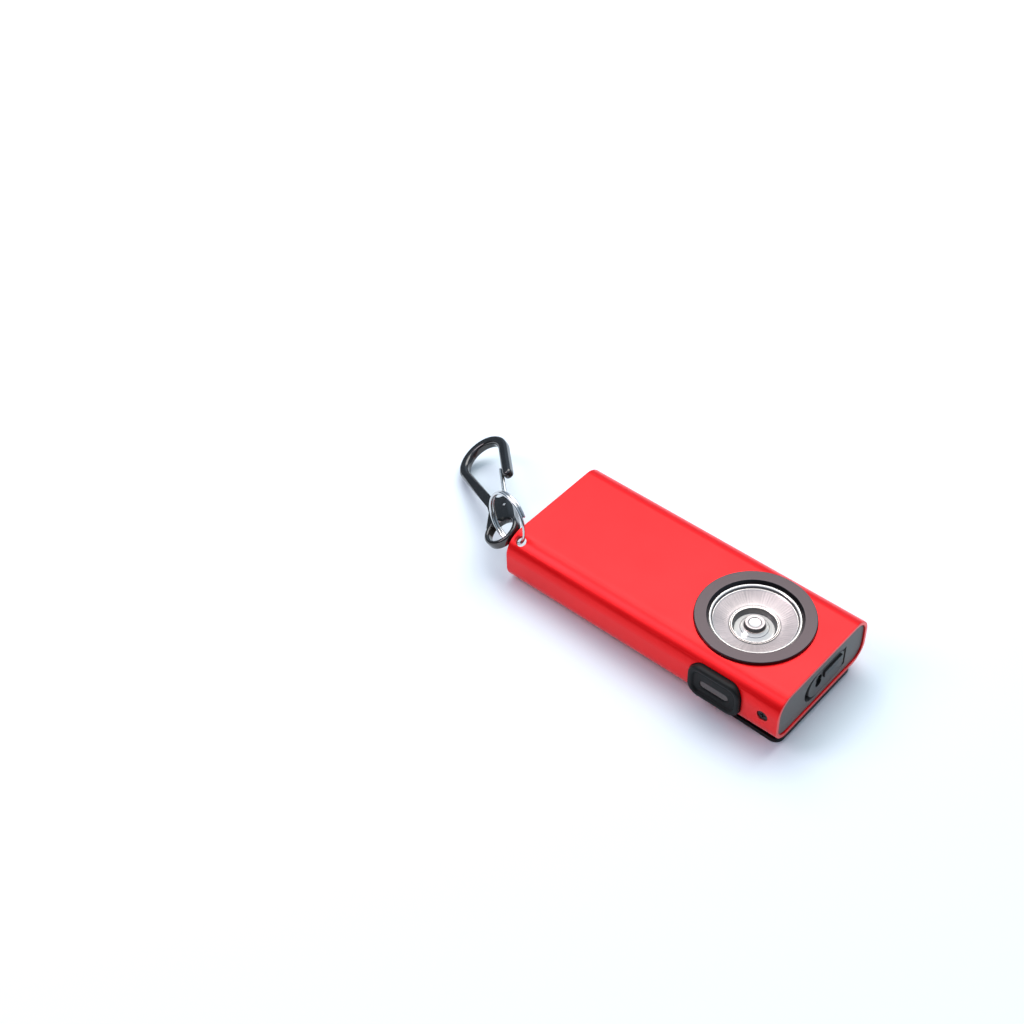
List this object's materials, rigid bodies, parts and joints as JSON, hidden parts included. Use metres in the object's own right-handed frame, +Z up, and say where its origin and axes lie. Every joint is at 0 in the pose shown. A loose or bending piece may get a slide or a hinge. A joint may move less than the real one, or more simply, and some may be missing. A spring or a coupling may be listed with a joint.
{
  "type": "keychain flashlight",
  "caption": "Flat keychain flashlight with a red metal sleeve, top-mounted lens, side button, covered USB port, pocket clip and snap hook.",
  "frame": {"origin": "centre of the sleeve's flat underside", "axes": "+X along the sleeve towards the charging port, +Y away from the button side, +Z up through the lens"},
  "size_m": [0.0959, 0.0308, 0.022],
  "materials": {
    "anodised_red": "satin bead-blasted red anodising",
    "bezel_metal": "fine concentric turned lines, grey anodised",
    "cap_grey": "fine matt texture",
    "cover_rubber": "matt",
    "button_rubber": "matt",
    "window_smoke": "smoked, semi-gloss",
    "lens_optic": "moulded optic over a bright reflector, ribbed",
    "black_rubber": "matt",
    "white_plastic": "matt",
    "led_phosphor": "domed phosphor",
    "board_green": "solder mask",
    "star_aluminium": "bare core board",
    "component_black": "moulded epoxy",
    "socket_steel": "nickel plated",
    "chassis_black": "matt",
    "cell_foil": "laminate foil",
    "tape_amber": "polyimide tape",
    "foam_black": "open cell foam",
    "lead_red": "soft insulation",
    "screw_black": "black oxide",
    "clip_black": "black coated spring steel",
    "ring_chrome": "polished nickel",
    "hook_nickel": "black nickel, polished edges",
    "gate_steel": "bright spring wire"
  },
  "bodies": {
    "body": {"sleeve": "anodised_red", "front_cap": "cap_grey", "tail_cap": "cap_grey", "cap_screws": "screw_black", "bezel": "bezel_metal", "lens": "lens_optic", "lens_gasket": "black_rubber", "lens_holder": "white_plastic", "led_emitter": "led_phosphor", "led_board": "star_aluminium", "main_board": "board_green", "driver_parts": "component_black", "usb_socket": "socket_steel", "side_switch": "component_black", "indicator_leds": "white_plastic", "chassis": "chassis_black", "battery_cell": "cell_foil", "protection_board": "tape_amber", "battery_pad": "foam_black", "battery_leads": "lead_red", "clip_base": "clip_black", "clip_screws": "screw_black"},
    "button": {"button_cap": "button_rubber", "indicator_window": "window_smoke", "switch_plunger": "white_plastic"},
    "port_cover": {"port_cover": "cover_rubber"},
    "clip_arm": {"clip_arm": "clip_black"},
    "ring": {"split_ring": "ring_chrome"},
    "hook": {"hook_body": "hook_nickel"},
    "gate": {"hook_gate": "gate_steel"}
  },
  "joints": [
    {"name": "button_press", "type": "slide", "parent": "body", "child": "button", "axis": [0, 1, 0], "range_m": [0, 0.0004], "stiffness_N_per_m": 400, "springref_m": -0.004},
    {"name": "cover_open", "type": "hinge", "parent": "body", "child": "port_cover", "pos_m": [0.0324, 0.00745, 0.0052], "axis": [0, 0, 1], "range_deg": [0, 100]},
    {"name": "clip_flex", "type": "hinge", "parent": "body", "child": "clip_arm", "pos_m": [0.0123, 0, -0.0005], "axis": [0, 1, 0], "range_deg": [0, 6], "stiffness_Nm_per_rad": 0.5, "springref_deg": -1.15},
    {"name": "ring_swing", "type": "hinge", "parent": "body", "child": "ring", "pos_m": [-0.03216, -0.0126, 0.00983], "axis": [-0.6642, 0.1281, -0.7365], "range_deg": [-20, 8]},
    {"name": "hook_swing", "type": "hinge", "parent": "ring", "child": "hook", "pos_m": [-0.03832, -0.01132, 0.00866], "axis": [-0.8538, 0.2303, 0.4669], "range_deg": [-10, 12]},
    {"name": "gate_open", "type": "hinge", "parent": "hook", "child": "gate", "pos_m": [-0.04077, -0.00609, 0.00947], "axis": [-0.4258, -0.3435, 0.8371], "range_deg": [0, 20], "stiffness_Nm_per_rad": 0.002, "springref_deg": -17.19}
  ]
}
